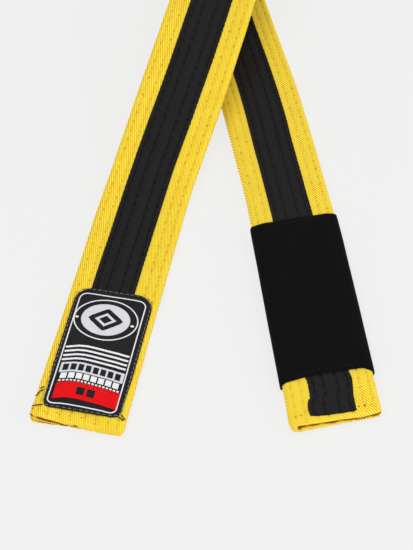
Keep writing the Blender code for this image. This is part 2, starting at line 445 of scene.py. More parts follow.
def cover_ring(u):
    """Strap coordinates round the cover at each station: face A left to right, then face B back."""
    u = u[:, None]
    v = COVER_ACROSS[None, :]
    wobble = 1 + 0.006 * ripple(u, 4.0)
    top = np.stack(np.broadcast_arrays(u, v * wobble, cover_half(u, v, 0)), -1)
    back = v[:, -2:0:-1]
    bottom = np.stack(np.broadcast_arrays(u, back * wobble, -cover_half(u, back, 1)), -1)
    ring = np.concatenate([top, bottom], 1)
    across = np.concatenate([v, back], 1) + 0 * u
    # The needle and groove channels are masks of painted shade: the materials darken the cloth in the needle holes
    # and along the quilting grooves.
    relief = np.stack([needle(u, across), groove(across), ripple(u + across, 2.0)], -1)
    return ring, relief


def add_thread(shell, u0, u1, v0, v1, height, face, slot, radius=0.17 * MM, sag=0.28 * MM):
    """One stitch from needle hole to needle hole, as a thin capsule that dips at both ends."""
    sides = 5
    share = np.array([0.0, 0.12, 0.3, 0.7, 0.88, 1.0])
    size = np.array([0.45, 0.9, 1.0, 1.0, 0.9, 0.45]) * radius
    lift = height + (np.array([-1.0, -0.25, 0.0, 0.0, -0.25, -1.0])) * sag
    angle = np.arange(sides) * 2 * math.pi / sides
    du, dv = u1 - u0, v1 - v0
    length = math.hypot(du, dv)
    side = np.array((-dv / length, du / length))
    rings = []
    for t, r, z in zip(share, size, lift):
        spread = r * np.cos(angle)
        rings.append(
            np.stack(
                [
                    u0 + t * du + side[0] * spread,
                    v0 + t * dv + side[1] * spread,
                    (z + r * np.sin(angle)) * (1 if face == 0 else -1),
                ],
                -1,
            )
        )
    start = shell.add(np.array(rings))
    shell.grid(start, len(share), sides, True, slot)
    shell.face([start + np.arange(sides), start + (len(share) - 1) * sides + np.arange(sides)], slot)


def add_row_threads(shell, first, last, rows, face, lift, slot, half):
    """The stitches of every quilting row between two stations."""
    for row, shift in zip(ROWS, ROW_SHIFT):
        if not rows(abs(row)):
            continue
        holes = np.arange(math.ceil((first - shift) / PITCH), math.floor((last - shift) / PITCH))
        for hole in holes:
            u0 = hole * PITCH + shift
            height = half(u0 + PITCH / 2, row, face) + lift
            add_thread(shell, u0 + 0.3 * MM, u0 + PITCH - 0.3 * MM, row, row, height, face, slot)


def half_at(u, v, face):
    return float(cover_half(np.array([u]), np.array([v]), face)[0])


def add_closing_row(shell, u, span, pitch, length, face):
    """Stitches across the strap near its end, each with a sunken dark capsule before it: painted shade in its needle
    hole.
    """
    for k in range(int((span[1] - span[0]) / pitch) + 1):
        v = (span[0] + k * pitch) * MM
        at = u + 0.25 * MM * math.sin(k * 2.3)
        height = half_at(at, v + length * MM / 2, face)
        add_thread(shell, at, at + 0.2 * MM, v, v + length * MM, height + 0.16 * MM, face, 1, 0.27 * MM, 0.35 * MM)
        # The sunken dark capsule: painted shade in the needle hole.
        height = half_at(at, v, face) - 0.16 * MM
        add_thread(shell, at, at, v - 1.0 * MM, v - 0.1 * MM, height, face, 2, 0.38 * MM, 0.1 * MM)


def mouth(side, x):
    """The open seams of a strap's end: how deep below the upper face, how wide, and how open."""
    if side == 0:
        yield np.interp(x, (-17, 3, 12, 20), (0.28, 0.42, 0.6, 0.42)), 0.125, smooth(-18.2, -17.0, x)
        yield 0.36 + 0 * x, 0.16, 1.15 * np.exp(-(((x + 16.8) / 0.8) ** 2))
    else:
        yield np.interp(x, (-20, -10, 1), (0.18, 0.42, 0.76)), 0.12, 1 - smooth(1, 7, x)
        yield np.interp(x, (-20, -8, 1), (0.58, 0.78, 0.9)), 0.09, 1.0 * (1 - smooth(-6, 0, x))
        yield 0.6 + 0 * x, 0.22, 1.15 * np.exp(-(((x + 0.4) / 1.3) ** 2))


def add_tip(shell, ring_start, ring, side, share=np.linspace(0, 1, 27)[1:-1]):
    """Closes the strap's end with a rounded lip, parted by the seam where the cover is turned in."""
    n = len(COVER_ACROSS)
    top, bottom = ring[:n], np.concatenate([ring[:1], ring[n:][::-1], ring[n - 1 : n]])
    inner = slice(1, n - 1)
    x = COVER_ACROSS[None, inner] / MM
    below = (share if side == 0 else 1 - share)[:, None]
    size = np.minimum(1, (top[inner, 2] - bottom[inner, 2]) / (4.4 * MM))[None]
    out = TIP_LIP * (0.8 + 0.35 * smooth(0.2, 0.8, below))
    out = out * (1 - np.abs(2 * below - 1) ** 2.4) ** 0.6 * size
    dark = 0 * out
    for depth, spread, open_ in mouth(side, x):
        seam = open_ * np.exp(-(((below - depth) / spread) ** 2))
        out = out - 1.0 * MM * seam * size
        dark = np.maximum(dark, seam)
    rows = top[None, inner] * (1 - share[:, None, None]) + bottom[None, inner] * share[:, None, None]
    rows[..., 0] += (-1 if side == 0 else 1) * out
    # The seam's opening also goes into the first relief channel, which the yellow material turns into painted shade
    # in the seam.
    relief = np.stack([np.minimum(2.6 * dark, 2.4), 0 * dark, 0 * dark], -1)
    sign = 1 if side == 0 else -1
    edge = ring[0, 0] - sign * below * 4.8 * MM
    cloth = np.stack(np.broadcast_arrays(edge, sign * rows[..., 1], float(side)), -1)
    start = shell.add(rows, cloth, relief)
    k = len(share)
    ids = start + np.arange(k * (n - 2)).reshape(k, n - 2)
    upper = ring_start + np.arange(1, n - 1)
    lower = ring_start + np.arange(2 * n - 3, n - 1, -1)
    ids = np.concatenate([upper[None], ids, lower[None]])
    a, b, c, d = ids[:-1, :-1], ids[:-1, 1:], ids[1:, 1:], ids[1:, :-1]
    shell.face(np.stack([a, b, c, d], -1).reshape(-1, 4))
    for corner, line in ((ring_start, ids[:, 0]), (ring_start + n - 1, ids[:, -1])):
        shell.face([(corner, p, q) for p, q in zip(line, line[1:])])


def cover_piece(name, first, last, divisions, joint, ends, materials):
    """A length of the quilted cover with the stitches that show on its yellow bands."""
    shell = Shell()
    u = stations(first, last, divisions, joint)
    ring, relief = cover_ring(u)
    start = shell.add(ring, signed_across(ring), relief)
    count = ring.shape[1]
    shell.grid(start, len(u), count, True)
    for side in (0, 1):
        ids = start + (0 if side == 0 else (len(u) - 1) * count) + np.arange(count)
        if ends[side]:
            add_tip(shell, ids[0], ring[0 if side == 0 else -1], side)
        else:
            shell.face([ids])
            shell.rim(ids)
    for face in (0, 1):
        add_row_threads(shell, first, last, lambda r: r > 11 * MM, face, 0.12 * MM, 1, half_at)
        if ends[0]:
            add_closing_row(shell, 5.4 * MM, (-17.6, -14.4), 2.8, 1.6, face)
            add_closing_row(shell, 5.4 * MM, (11.6, 17.3), 2.8, 1.6, face)
        if ends[1]:
            add_closing_row(shell, TOTAL - 4.4 * MM, (-20.0, 17.5), 5.6, 3.4, face)
    return shell.build(name, materials)


def tape_offset(u, face):
    """How far the stripe lies off the strap's middle line."""
    w = TOTAL - u
    left = np.interp(
        w, np.array([60, 78, 97, 112, 132, 162, 182, 202, 227]) * MM, [-1.2, -1.25, -1.15, -0.85, -0.7, -0.8, -0.6, -0.3, 0]
    )
    right = np.interp(u, np.array([100, 124, 139, 173, 190, 240]) * MM, [-0.1, -0.15, -0.4, -0.35, 0, 0.2])
    return np.where(u < w, 0 * u if face else right, left if face else 0 * u) * MM


TIP_TAPE = (
    np.array([3, 5.5, 8, 12.4, 13.0, 16, 24]) * MM,
    np.array([-11.2, -11.6, -12.0, -11.3, -10.2, -9.8, -9.7]) * MM,
    np.array([9.8, 9.8, 9.8, 9.9, 9.9, 10.3, 11.1]) * MM,
)


def tape_piece(name, first, last, divisions, joint, face, materials, free=(False, False)):
    """A length of the stripe tape on one face, with its own stitches."""
    shell = Shell()
    u = stations(first, last, divisions, joint)
    sign = 1 if face == 0 else -1
    uu, v = u[:, None], TAPE_ACROSS[None, :]
    widen = 1 + 0.008 * ripple(uu, 7.0 + face) + 0.006 * np.sin(uu * 1900.0 + 3 * np.sign(v))
    vv = v * widen + tape_offset(uu, face)
    if free[0] and face == 0:
        left = np.interp(uu, TIP_TAPE[0], TIP_TAPE[1]) + 0.18 * MM * np.sin(uu * 3300.0)
        right = np.interp(uu, TIP_TAPE[0], TIP_TAPE[2])
        here = left + (right - left) * (v / TAPE_HALF_WIDTH + 1) / 2
        vv = vv + (here - vv) * np.clip((26 * MM - uu) / (4 * MM), 0, 1)
    x = np.clip((np.abs(v) - (TAPE_HALF_WIDTH - 0.32 * MM)) / (0.32 * MM), 0, 1)
    thick = 0.06 * MM + (TAPE_THICKNESS - 0.06 * MM) * np.sqrt(np.maximum(1 - x * x, 0))
    base = cover_half(uu, vv, face)
    top = np.stack(np.broadcast_arrays(uu, vv, sign * (base + thick)), -1)
    low = np.stack(np.broadcast_arrays(uu, vv, sign * (base + 0.03 * MM)), -1)[:, ::-1]
    ring = np.concatenate([top, low], 1)
    across = np.concatenate([v + 0 * uu, (v + 0 * uu)[:, ::-1]], 1)
    for side, at in ((0, first), (1, last)):
        if free[side]:
            ragged = 0.16 * MM * np.sin(across * 3900.0) - 0.05 * across
            ragged = ragged - 0.5 * MM * (1 - (across / TAPE_HALF_WIDTH) ** 2)
            ring[:, :, 0] += ragged * np.clip(1 - np.abs(ring[:, :, 0] - at) / (4 * MM), 0, 1)
    # The needle and groove channels are masks of painted shade for the needle holes and the quilting grooves.
    relief = np.stack([needle(uu, across), groove(across), ripple(uu + across, 5.0)], -1)
    start = shell.add(ring, signed_across(ring), relief)
    count = ring.shape[1]
    shell.grid(start, len(u), count, True)
    for side in (0, 1):
        ids = start + (0 if side == 0 else (len(u) - 1) * count) + np.arange(count)
        shell.face([ids])
        shell.rim(ids)

    def half(at, row, f):
        return half_at(at, row, f) + TAPE_THICKNESS

    add_row_threads(shell, first + MM, last - MM, lambda r: r < 11 * MM, face, 0.1 * MM, 1, half)
    return shell.build(name, materials)


# ---------------------------------------------------------------- materials


class Graph:
    """One procedural material."""

    def __init__(self, name, roughness, specular=0.5):
        self.material = bpy.data.materials.new(name)
        self.material.use_nodes = True
        self.tree = self.material.node_tree
        self.shader = self.tree.nodes["Principled BSDF"]
        self.shader.inputs["Roughness"].default_value = roughness
        self.shader.inputs["Specular IOR Level"].default_value = specular

    def feed(self, socket, value):
        if isinstance(value, bpy.types.NodeSocket):
            self.tree.links.new(value, socket)
        elif value is not None:
            socket.default_value = value

    def math(self, operation, *values):
        node = self.tree.nodes.new("ShaderNodeMath")
        node.operation = operation
        for socket, value in zip(node.inputs, values):
            self.feed(socket, value)
        return node.outputs[0]

    def mix(self, share, low, high):
        node = self.tree.nodes.new("ShaderNodeMix")
        node.data_type = "RGBA"
        for index, value in ((0, share), (6, low), (7, high)):
            self.feed(node.inputs[index], value)
        return node.outputs[2]

    def attribute(self, name):
        node = self.tree.nodes.new("ShaderNodeAttribute")
        node.attribute_name = name
        split = self.tree.nodes.new("ShaderNodeSeparateXYZ")
        self.tree.links.new(node.outputs["Vector"], split.inputs[0])
        return node.outputs["Vector"], *split.outputs

    def noise(self, vector, size, detail=2.0):
        node = self.tree.nodes.new("ShaderNodeTexNoise")
        self.feed(node.inputs["Vector"], vector)
        node.inputs["Scale"].default_value = 1 / size
        node.inputs["Detail"].default_value = detail
        return node.outputs["Fac"]

    def finish(self, colour, height=None, distance=0.1 * MM, strength=0.6, sheen=0.0):
        self.feed(self.shader.inputs["Base Color"], colour)
        if sheen:
            self.shader.inputs["Sheen Weight"].default_value = sheen
            self.shader.inputs["Sheen Roughness"].default_value = 0.5
        if height is not None:
            bump = self.tree.nodes.new("ShaderNodeBump")
            bump.inputs["Strength"].default_value = strength
            bump.inputs["Distance"].default_value = distance
            self.feed(bump.inputs["Height"], height)
            self.tree.links.new(bump.outputs[0], self.shader.inputs["Normal"])
        return self.material


def linear(r, g, b):
    def one(c):
        c /= 255
        return c / 12.92 if c <= 0.04045 else ((c + 0.055) / 1.055) ** 2.4

    return (one(r), one(g), one(b), 1.0)


def weave(g, u, w, angle, pitch, dash, bow=0.0):
    """A twill's slanted ridges, broken into yarn-long dashes: a height from 0 to 1."""
    s, c = g.math("SINE", angle), g.math("COSINE", angle)
    across = g.math("ADD", g.math("MULTIPLY", u, s), g.math("MULTIPLY", w, c))
    across = g.math("MULTIPLY_ADD", g.math("MULTIPLY", w, w), bow, across)
    along = g.math("SUBTRACT", g.math("MULTIPLY", u, c), g.math("MULTIPLY", w, s))
    across = g.math("DIVIDE", across, pitch)
    row = g.math("FLOOR", across)
    ridge = g.math("SINE", g.math("MULTIPLY", g.math("FRACT", across), math.pi))
    phase = g.math("MULTIPLY_ADD", row, math.pi, g.math("DIVIDE", along, dash / (2 * math.pi)))
    yarn = g.math("MULTIPLY_ADD", g.math("SINE", phase), 0.5, 0.5)
    return g.math("MULTIPLY", ridge, g.math("MULTIPLY_ADD", yarn, 0.25, 0.75))


def cotton_material(name, dark, base, light, hole):
    g = Graph(name, 0.78, 0.3)
    cloth, u, w, face = g.attribute("cloth")
    _, recess_shade_mask, groove_shade_mask, slow = g.attribute("relief")
    fine = g.noise(cloth, 0.5 * MM, 3.0)
    angle = g.math("MULTIPLY_ADD", face, math.radians(14 - 30), math.radians(30))
    pitch = g.math("MULTIPLY_ADD", face, -0.16 * MM, 0.95 * MM)
    ridges = weave(g, u, w, angle, pitch, 2.2 * MM, -5.0)
    contrast = g.math("MULTIPLY_ADD", face, -0.6, 1.6)
    tone = g.math("MULTIPLY_ADD", fine, 0.4, g.math("MULTIPLY", ridges, contrast))
    # Takes a fixed share off the tone, and a little more along the quilting grooves as painted shade.
    tone = g.math("SUBTRACT", tone, g.math("MULTIPLY_ADD", groove_shade_mask, 0.1, 0.42))
    tone = g.math("MULTIPLY_ADD", face, 0.27, tone)
    tone = g.math("ADD", tone, g.math("MULTIPLY_ADD", g.noise(cloth, 9 * MM), 0.3, -0.15))
    low = g.math("MULTIPLY", tone, 2.0)
    low.node.use_clamp = True
    high = g.math("MULTIPLY_ADD", tone, 2.0, -1.0)
    high.node.use_clamp = True
    colour = g.mix(high, g.mix(low, linear(*dark), linear(*base)), linear(*light))
    # Dark brown spots of painted shade in the needle holes and in the open seams of the strap's ends, deeper or
    # fainter at random.
    depth = g.math("MULTIPLY_ADD", g.noise(cloth, 5 * MM, 1.0), 1.9, -0.5)
    recess_shade = g.math("MULTIPLY", g.math("POWER", recess_shade_mask, 1.5), g.math("MAXIMUM", depth, 0.1))
    recess_shade.node.use_clamp = True
    colour = g.mix(recess_shade, colour, linear(*hole))
    height = g.math("MULTIPLY_ADD", fine, 0.35, ridges)
    return g.finish(colour, height, 0.2 * MM, 0.7, sheen=0.05)


def stripe_material(name, dark, light):
    """Ribbed black tape: fine cross ribs with a faint diagonal."""
    g = Graph(name, 0.8, 0.1)
    cloth, u, w, _ = g.attribute("cloth")
    _, recess_shade_mask, groove_shade_mask, slow = g.attribute("relief")
    fine = g.noise(cloth, 0.45 * MM, 3.0)
    ridges = weave(g, u, w, math.radians(62), 0.75 * MM, 1.6 * MM)
    tone = g.math("MULTIPLY_ADD", ridges, 0.45, g.math("MULTIPLY", fine, 0.6))
    # Painted shade along the quilting grooves and in the needle holes.
    tone = g.math("SUBTRACT", tone, g.math("MULTIPLY", groove_shade_mask, 0.3))
    tone = g.math("SUBTRACT", tone, g.math("MULTIPLY", recess_shade_mask, 0.3))
    tone.node.use_clamp = True
    colour = g.mix(tone, linear(*dark), linear(*light))
    return g.finish(colour, g.math("ADD", ridges, fine), 0.12 * MM, 0.5)


def plain_material(name, dark, light, size, roughness=0.8, distance=0.08 * MM, sheen=0.0, specular=0.3):
    """Small cloth parts: a fine fuzzy weave in two tones."""
    g = Graph(name, roughness, specular)
    cloth, u, w, _ = g.attribute("cloth")
    fine = g.noise(cloth, size, 4.0)
    broad = g.noise(cloth, size * 14, 2.0)
    tone = g.math("MULTIPLY_ADD", fine, 1.3, g.math("MULTIPLY_ADD", broad, 0.7, -0.5))
    tone.node.use_clamp = True
    return g.finish(g.mix(tone, linear(*dark), linear(*light)), fine, distance, 0.6, sheen)


# The last colour, a dark brown, is painted shade for the needle holes and the seams at the strap's ends.
YELLOW = cotton_material("yellow_cotton_twill", (220, 140, 0), (252, 210, 22), (255, 242, 78), (142, 76, 6))
YELLOW_THREAD = plain_material("yellow_thread", (238, 196, 46), (255, 232, 104), 0.3 * MM, 0.6)
# Painted shade for the needle holes of the closing stitches.
YELLOW_HOLE_SHADE = plain_material("needle_hole_shadow", (130, 76, 18), (176, 112, 26), 0.3 * MM, 0.9)
BLACK_TAPE = stripe_material("black_stripe_weave", (12, 11, 12), (45, 44, 45))
BLACK_THREAD = plain_material("black_thread", (16, 16, 17), (58, 57, 59), 0.3 * MM, 0.6, specular=0.15)
BAR_CLOTH = plain_material("black_bar_velvet", (8, 8, 8), (20, 19, 20), 0.35 * MM, 0.95, 0.12 * MM, 0.03, 0.04)
BAR_THREAD = plain_material("bar_thread", (20, 20, 21), (38, 38, 40), 0.4 * MM, 0.8, specular=0.08)
LABEL_BLACK = plain_material("label_black_weave", (16, 16, 17), (44, 43, 46), 0.3 * MM, 0.7, specular=0.12)
# Black edge thread whose pale tone, set in small noise patches, is painted highlight on the stitches.
LABEL_THREAD_HIGHLIT = plain_material("label_edge_thread_painted_highlight", (14, 14, 15), (150, 148, 152), 0.9 * MM, 0.45, specular=0.3)
LABEL_WHITE = plain_material("label_white_weave", (224, 221, 227), (255, 255, 255), 0.35 * MM, 0.6)
LABEL_GREY = plain_material("label_disc_weave", (205, 202, 209), (233, 230, 236), 0.35 * MM, 0.6)
RED = plain_material("red_tab_weave", (218, 10, 16), (240, 22, 26), 0.35 * MM, 0.75, specular=0.1)
RED_THREAD = plain_material("red_tab_thread", (120, 8, 14), (168, 14, 20), 0.3 * MM, 0.7)


# ---------------------------------------------------------------- the strap's pieces

ORDER = {
    "right_tail_end_lift": 5,
    "right_tail_upper_lift": 5,
    "fold_1": 4,
    "fold_2": 3,
    "fold_3": 3,
    "fold_4": 3,
    "fold_5": 4,
    "left_tail_upper_lift": 5,
    "left_tail_middle_lift": 5,
    "left_tail_end_lift": 5,
}


def bend(obj, link, joint_u, shape, strap_points):
    """Bakes the piece's transform and works out the weight that follows the strap round the bend across its joint."""
    joint = JOINTS[link]
    index = LINKS.index(link)
    forward = joint["child"] == STRETCHES[index + 1]
    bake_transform(obj)
    u, v = strap_points[:, 0] - joint_u, strap_points[:, 1]
    weight = shape.weight(u, v) if isinstance(shape, Fold) else shape.weight(u)
    weight = weight if forward else 1 - weight


def strap_coordinates(obj):
    """u and v of each vertex, from the vector that the materials read."""
    values = np.zeros(len(obj.data.vertices) * 3, np.float32)
    obj.data.attributes["cloth"].data.foreach_get("vector", values)
    cloth = values.reshape(-1, 3).astype(float)
    cloth[:, 1] = np.where(cloth[:, 2] > 0.5, -cloth[:, 1], cloth[:, 1])
    return cloth


def attach(obj, index, nodes):
    _, _, joint_u, shape, link = SEGMENTS[index]
    if link:
        bend(obj, link, joint_u, shape, strap_coordinates(obj))
    else:
        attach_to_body(obj, STRETCHES[0 if index == 0 else -1])
    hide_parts(*nodes)


def build_strap():
    last = len(SEGMENTS) - 1
    for index, (first, end, joint_u, shape, link) in enumerate(SEGMENTS):
        stretch = STRETCHES[0 if index == 0 else index - 1 if index == last else index]
        near = STRETCHES[min(max(index - 1, 0), 10)]
        label = link if link else ("right_tip" if index == 0 else "left_tip")
        divisions = ORDER.get(link, 5)
        tight = joint_u if isinstance(shape, Fold) else None
        ends = (index == 0, index == last)
        stands_for = sorted({near, stretch})
        start = first + TIP_LIP if index == 0 else first
        stop = end - TIP_LIP if index == last else end
        obj = cover_piece(f"strap_{label}", start, stop, divisions, tight, ends, (YELLOW, YELLOW_THREAD, YELLOW_HOLE_SHADE))
        nodes = [f"{s}_{part}" for s in stands_for for part in ("cover", "core")]
        attach(obj, index, nodes)
        for face in (0, 1):
            a = TAPE_STOPS[0] if index == 0 else first
            b = TOTAL - TAPE_STOPS[1] if index == last else end
            obj = tape_piece(
                f"stripe_{label}_{'ab'[face]}",
                a,
                b,
                divisions,
                tight,
                face,
                (BLACK_TAPE, BLACK_THREAD),
                ends,
            )
            nodes = []
            for s in stands_for:
                upper = (FACE_A_UP[STRETCHES.index(s)] > 0) == (face == 0)
                nodes.append(f"{s}_{'upper' if upper else 'lower'}_stripe")
            attach(obj, index, nodes)


build_strap()


# ---------------------------------------------------------------- rank bar


def bar_section(half_width, half_depth, power, count=96):
    """A flat rounded loop: (v, h) points."""
    t = np.linspace(0, 2 * math.pi, count, endpoint=False)
    c, s = np.cos(t), np.sin(t)
    v = np.sign(c) * np.abs(c) ** (2 / power) * half_width
    h = np.sign(s) * np.abs(s) ** (2 / 2.6) * half_depth
    return v, h


def build_bar():
    shell = Shell()
    outer = bar_section(WIDTH / 2 + 1.0 * MM, 3.35 * MM, 9.0)
    inner = bar_section(WIDTH / 2 + 0.45 * MM, 2.8 * MM, 9.0)
    t = np.linspace(0, 1, 76)
    rings = []

    def end_shift(v, h, side):
        x = v / (WIDTH / 2)
        if side == 0:
            corner = 1.2 * smooth(0.8, 1.0, x)
            return (1.9 * x + 1.6 * (1 - x * x) - 1.4 - corner + 0.12 * np.sin(v * 900)) * MM
        return (1.3 * x + 0.5 * (1 - x * x) - 0.2 + 0.12 * np.sin(v * 800 + 1)) * MM

    def ring_at(section, share, inset):
        v, h = section
        start = BAR_START + end_shift(v, h, 0)
        end = BAR_START + BAR_LENGTH + end_shift(v, h, 1)
        u = start + (end - start) * share + inset
        puff = 1 + 0.012 * ripple(u + 2 * v, 6.0)
        return np.stack([u, v * (1 + 0.003 * ripple(u, 8.0)), h * puff], -1)

    def between(k):
        return tuple(a * (1 - k) + b * k for a, b in zip(outer, inner))

    for k, inset in ((0.95, 0.0), (0.6, -0.22 * MM), (0.25, -0.2 * MM)):
        rings.append(ring_at(between(k), 0, inset))
    corner = np.clip(np.minimum(t, 1 - t) / 0.025, 0, 1)
    for share, c in zip(t, corner):
        rings.append(ring_at(between(0.12 * (1 - c)), share, 0))
    for k, inset in ((0.25, 0.2 * MM), (0.6, 0.22 * MM), (0.95, 0.0)):
        rings.append(ring_at(between(k), 1, inset))
    for share in np.linspace(1, 0, 30):
        rings.append(ring_at(inner, share, 0))
    rings = np.array(rings)
    count = rings.shape[1]
    start = shell.add(rings, signed_across(rings))
    shell.grid(start, len(rings), count, True)
    lastrow = start + (len(rings) - 1) * count + np.arange(count)
    firstrow = start + np.arange(count)
    nxt = np.roll(np.arange(count), -1)
    shell.face(
        [(lastrow[i], lastrow[nxt[i]], firstrow[nxt[i]], firstrow[i]) for i in range(count)]
    )
    obj = shell.build("rank_bar", (BAR_CLOTH,))
    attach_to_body(obj, "right_tail_end")
    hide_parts("rank_bar_sleeve")
    seams = Shell()
    for face in (0, 1):
        for side in (0, 1):
            for v in np.arange(-19.5 * MM, 19.6 * MM, 3.0 * MM):
                x = np.array([v + MM])
                shift = float(end_shift(x, 0, side)[0])
                base = BAR_START + (2.2 * MM if side == 0 else BAR_LENGTH - 2.2 * MM)
                add_thread(
                    seams,
                    base + shift,
                    base + shift + 0.05 * MM,
                    v,
                    v + 2.3 * MM,
                    3.33 * MM * (1 - (abs(v) / (24 * MM)) ** 6),
                    face,
                    0,
                    0.16 * MM,
                    0.15 * MM,
                )
    obj = seams.build("rank_bar_seams", (BAR_THREAD,))
    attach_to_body(obj, "right_tail_end")


build_bar()


# ---------------------------------------------------------------- label and size tab


def label_base(b, v):
    """Height of the label's top over the strap's middle plane; b runs up from the label's lower edge."""
    under = (2.5 + 0.17 * (1 - smooth(9.5, 12.0, np.abs(v) / MM))) * MM
    edge = np.minimum(LABEL_HALF - np.abs(v), np.minimum(b, LABEL_LENGTH - b))
    press = smooth(0.2 * MM, 3.2 * MM, edge)
    swell = 0.22 * MM * press * (1 + 0.5 * np.sin(b * 150 + 0.6) + 0.3 * np.sin(v * 260 + b * 90))
    return under + 0.42 * MM + swell


def on_label(b, v, lift):
    """Strap coordinates of a point on the label, seen on face B."""
    b, v, lift = np.broadcast_arrays(b, v, lift)
    return np.stack([TOTAL - LABEL_START - b, v + LABEL_SHIFT, -(label_base(b, v) + lift)], -1)


def label_half(b):
    """Half the label's width: rounded at its foot, with a soft slanted cut at each upper corner."""
    foot = 3.4 * MM
    low = LABEL_HALF - foot + np.sqrt(np.maximum(foot**2 - (foot - np.minimum(b, foot)) ** 2, 0))
    low = low - 0.75 * MM * (1 - smooth(4 * MM, 26 * MM, b))
    high = LABEL_HALF - np.interp(b / MM, [63, 65, 66.5, 69.4, 70.5, 71], [0, 0.2, 0.9, 3.6, 5.2, 6.6]) * MM
    return np.minimum(low, high) + 0.1 * MM * np.sin(b * 2 * math.pi / (2.6 * MM))


def slab(shell, top, bottom, slot=0):
    """A closed sheet from two grids of strap points, rows x columns x 3; top is the outer side."""
    rows, columns = top.shape[:2]
    a = shell.add(top, signed_across(top))
    b = shell.add(bottom, signed_across(bottom))
    shell.grid(a, rows, columns, False, slot)
    shell.grid(b, rows, columns, False, slot)
    ids = np.arange(rows * columns).reshape(rows, columns)
    loop = np.concatenate([ids[0, :-1], ids[:-1, -1], ids[-1, :0:-1], ids[:0:-1, 0]])
    nxt = np.roll(loop, -1)
    shell.face([(a + n, a + p, b + p, b + n) for p, n in zip(loop, nxt)], slot)
    shell.rim(a + loop)


def star(shell, centre, outline, lift, thick, slot=0, rings=7):
    """A flat shape on the label from its outline round a centre."""
    outline, centre = np.asarray(outline, float), np.asarray(centre, float)
    count = len(outline)
    ends = []
    for level in (lift + thick, lift):
        rows = []
        for k in range(1, rings + 1):
            p = centre + (outline - centre) * k / rings
            rows.append(on_label(p[:, 0], p[:, 1], level))
        start = shell.add(np.array(rows), signed_across(np.array(rows)))
        middle = on_label(centre[0], centre[1], level)
        mid = shell.add(middle, signed_across(middle))
        shell.grid(start, rings, count, True, slot)
        shell.face([(mid, start + (i + 1) % count, start + i) for i in range(count)], slot)
        ends.append(start + (rings - 1) * count + np.arange(count))
    high, low = ends
    shell.face(np.stack([high, np.roll(high, -1), np.roll(low, -1), low], -1), slot)
    shell.rim(high)


def ribbon(shell, path, width, lift, thick, closed, slot=0):
    """A thin raised line on the label along a path of (b, v) points."""
    path = np.asarray(path, float)
    if closed:
        along = unit(np.roll(path, -1, 0) - np.roll(path, 1, 0))
    else:
        along = unit(np.gradient(path, axis=0))
    side = np.stack([-along[:, 1], along[:, 0]], -1) * width / 2
    rows = []
    for s, level in ((-1, lift), (-0.8, lift + thick), (0.8, lift + thick), (1, lift)):
        p = path + s * side
        rows.append(on_label(p[:, 0], p[:, 1], level))
    rows = np.array(rows)
    count = len(path)
    start = shell.add(rows, signed_across(rows))
    shell.grid(start, 4, count, closed, slot)
    n = count if closed else count - 1
    bottom = [
        (start + i, start + (i + 1) % count, start + 3 * count + (i + 1) % count, start + 3 * count + i)
        for i in range(n)
    ]
    shell.face(bottom, slot)
    if not closed:
        shell.face([[start + k * count for k in range(4)], [start + k * count + count - 1 for k in range(3, -1, -1)]], slot)


def ellipse(b, v, rb, rv, count=72):
    t = np.linspace(0, 2 * math.pi, count, endpoint=False)
    return np.stack([b + rb * np.cos(t), v + rv * np.sin(t)], -1)


def add_block(shell, b0, b1, v0, v1, lift, thick):
    """A small rectangle of another colour, bowed like the woven lines round it."""
    b, v = np.linspace(b0, b1, 4)[:, None] * MM, np.linspace(v0, v1, 5)[None] * MM
    b = b + arch(b, v) - 0.02 * v
    slab(shell, on_label(b, v + 0 * b, lift + thick), on_label(b, v + 0 * b, lift))


def settle(obj, slot, *nodes):
    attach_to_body(obj, "left_tail_end")
    if nodes:
        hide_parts(*nodes)


def arch(b, v):
    """The rise of the label's woven lines over their ends, where the label has bowed."""
    bow = np.interp(b / MM, [1.6, 3.7, 13, 34, 60], [0.9, 2.5, 2.3, 2.2, 0])
    rise = np.interp(v / MM, [-16, -12, -9, -5.6, -2, 2, 8.4, 13, 16], [0, 0.55, 0.87, 1, 0.9, 0.72, 0.43, 0.15, 0])
    return bow * rise * MM


def rounded_path(b0, b1, half, low, high, step=0.9 * MM):
    """A rectangle with rounded corners on the label, as (b, v) points."""
    points = []
    for b, side, r, turn in ((b0, -1, low, 180), (b1, -1, high, 270), (b1, 1, high, 0), (b0, 1, low, 90)):
        centre = np.array((b + r if b == b0 else b - r, side * (half - r)))
        for a in np.radians(turn + np.linspace(0, 90, 7)):
            points.append(centre + r * np.array((math.cos(a), math.sin(a))))
    dense = []
    for p, q in zip(points, points[1:] + points[:1]):
        n = max(1, int(np.linalg.norm(q - p) / step))
        dense += [p + (q - p) * k / n for k in range(n)]
    return np.array(dense)


def add_loose_end(shell, points):
    """A loose end of thread lying on the strap: strap points (b, v, height) joined by short lengths."""
    for p, q in zip(points, points[1:]):
        low = min(p[2], q[2]) * MM
        u0, u1 = (TOTAL - LABEL_START - x[0] * MM for x in (p, q))
        add_thread(shell, u0, u1, p[1] * MM, q[1] * MM, 2.6 * MM + low, 1, 0, 0.3 * MM, 0.02 * MM)


